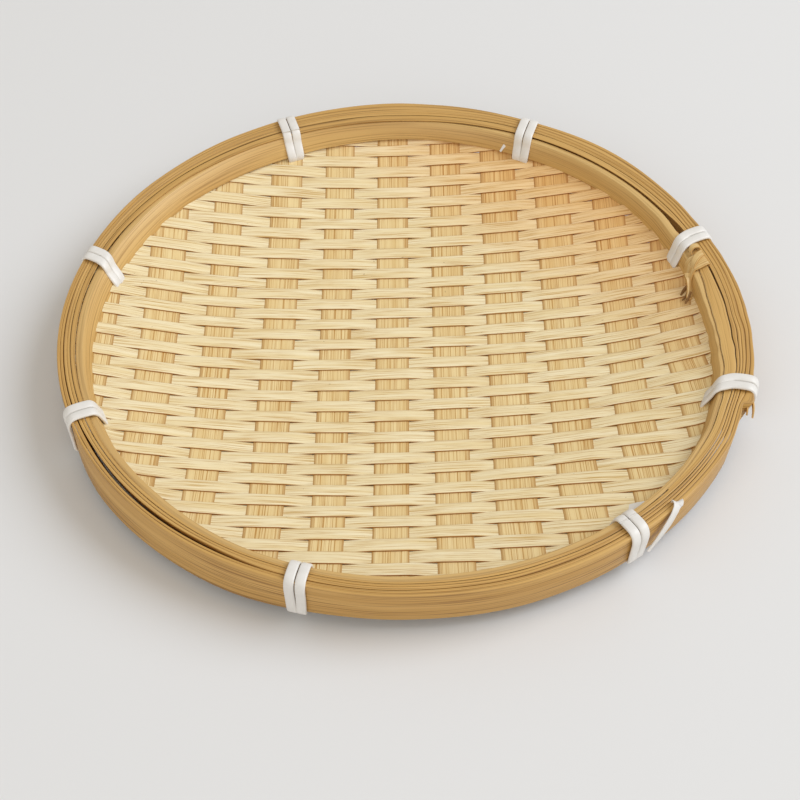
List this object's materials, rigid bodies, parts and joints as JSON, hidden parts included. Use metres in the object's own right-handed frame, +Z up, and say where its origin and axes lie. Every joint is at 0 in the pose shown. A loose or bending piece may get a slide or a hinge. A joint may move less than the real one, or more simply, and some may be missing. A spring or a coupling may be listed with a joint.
{
  "type": "round bamboo tray basket",
  "caption": "Shallow round bamboo tray: a plain-woven mat of wide and narrow strips held at its rim between hoops by white tape ties, for draining or serving food.",
  "frame": {"origin": "under the middle of the tray, on the surface it stands on", "axes": "+Z up out of the tray's open face; +Y along the wide strips; +X along the narrow strips"},
  "size_m": [0.18, 0.18, 0.0151],
  "materials": {
    "weft_bamboo": "matte",
    "warp_bamboo": "matte",
    "hoop_bamboo": "satin",
    "lashing_bamboo": "matte",
    "white_tape": "satin"
  },
  "bodies": {
    "root": {"core_strip": "hoop_bamboo", "far_edge_wefts": "weft_bamboo", "hoop_lashing": "lashing_bamboo", "inner_cover_strip": "hoop_bamboo", "inner_hoop": "hoop_bamboo", "near_edge_wefts": "weft_bamboo", "outer_cover_strip": "hoop_bamboo", "outer_hoop": "hoop_bamboo", "tie_01": "white_tape", "tie_02": "white_tape", "tie_03": "white_tape", "tie_04": "white_tape", "tie_05": "white_tape", "tie_06": "white_tape", "tie_07": "white_tape", "tie_08": "white_tape", "warp_01": "warp_bamboo", "warp_02": "warp_bamboo", "warp_03": "warp_bamboo", "warp_04": "warp_bamboo", "warp_05": "warp_bamboo", "warp_06": "warp_bamboo", "warp_07": "warp_bamboo", "warp_08": "warp_bamboo", "warp_09": "warp_bamboo", "warp_10": "warp_bamboo", "warp_11": "warp_bamboo", "weft_06": "weft_bamboo", "weft_07": "weft_bamboo", "weft_08": "weft_bamboo", "weft_09": "weft_bamboo", "weft_10": "weft_bamboo", "weft_11": "weft_bamboo", "weft_12": "weft_bamboo", "weft_13": "weft_bamboo", "weft_14": "weft_bamboo", "weft_15": "weft_bamboo", "weft_16": "weft_bamboo", "weft_17": "weft_bamboo", "weft_18": "weft_bamboo", "weft_19": "weft_bamboo", "weft_20": "weft_bamboo", "weft_21": "weft_bamboo", "weft_22": "weft_bamboo", "weft_23": "weft_bamboo", "weft_24": "weft_bamboo", "weft_25": "weft_bamboo", "weft_26": "weft_bamboo", "weft_27": "weft_bamboo", "weft_28": "weft_bamboo", "weft_29": "weft_bamboo", "weft_30": "weft_bamboo", "weft_31": "weft_bamboo", "weft_32": "weft_bamboo", "weft_33": "weft_bamboo", "weft_34": "weft_bamboo", "weft_35": "weft_bamboo", "weft_36": "weft_bamboo", "weft_37": "weft_bamboo", "weft_38": "weft_bamboo"}
  },
  "joints": []
}
